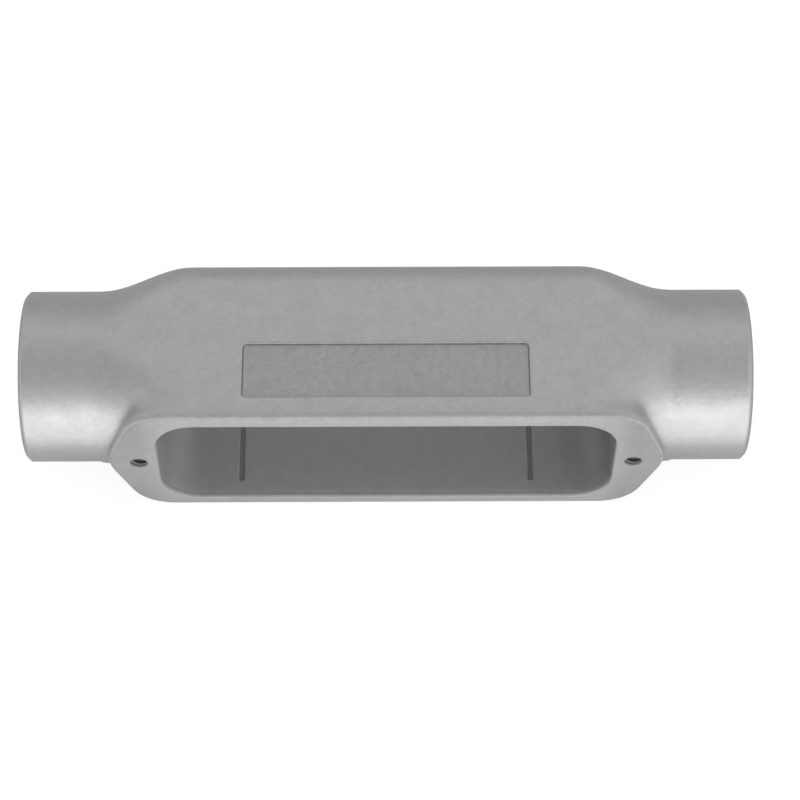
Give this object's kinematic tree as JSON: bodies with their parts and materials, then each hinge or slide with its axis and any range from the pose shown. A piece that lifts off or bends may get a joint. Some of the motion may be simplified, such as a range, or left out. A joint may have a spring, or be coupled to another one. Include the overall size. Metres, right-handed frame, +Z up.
{
  "type": "conduit body",
  "caption": "In-line conduit body: one grey casting with a threaded hub at each end, an oval cover opening with a flat rim, and tapped ears for the cover screws.",
  "frame": {"origin": "centre of the cover opening in the plane of the rim, midway between the two cover screws", "axes": "+X along the axis of the hubs, +Y from the rim into the body, +Z up through the side wall with the nameplate recess"},
  "size_m": [0.145, 0.0384, 0.0358],
  "materials": {
    "casting": "satin silver-grey enamel over a fine sand-cast skin"
  },
  "bodies": {
    "root": {"conduit_body": "casting"}
  },
  "joints": []
}
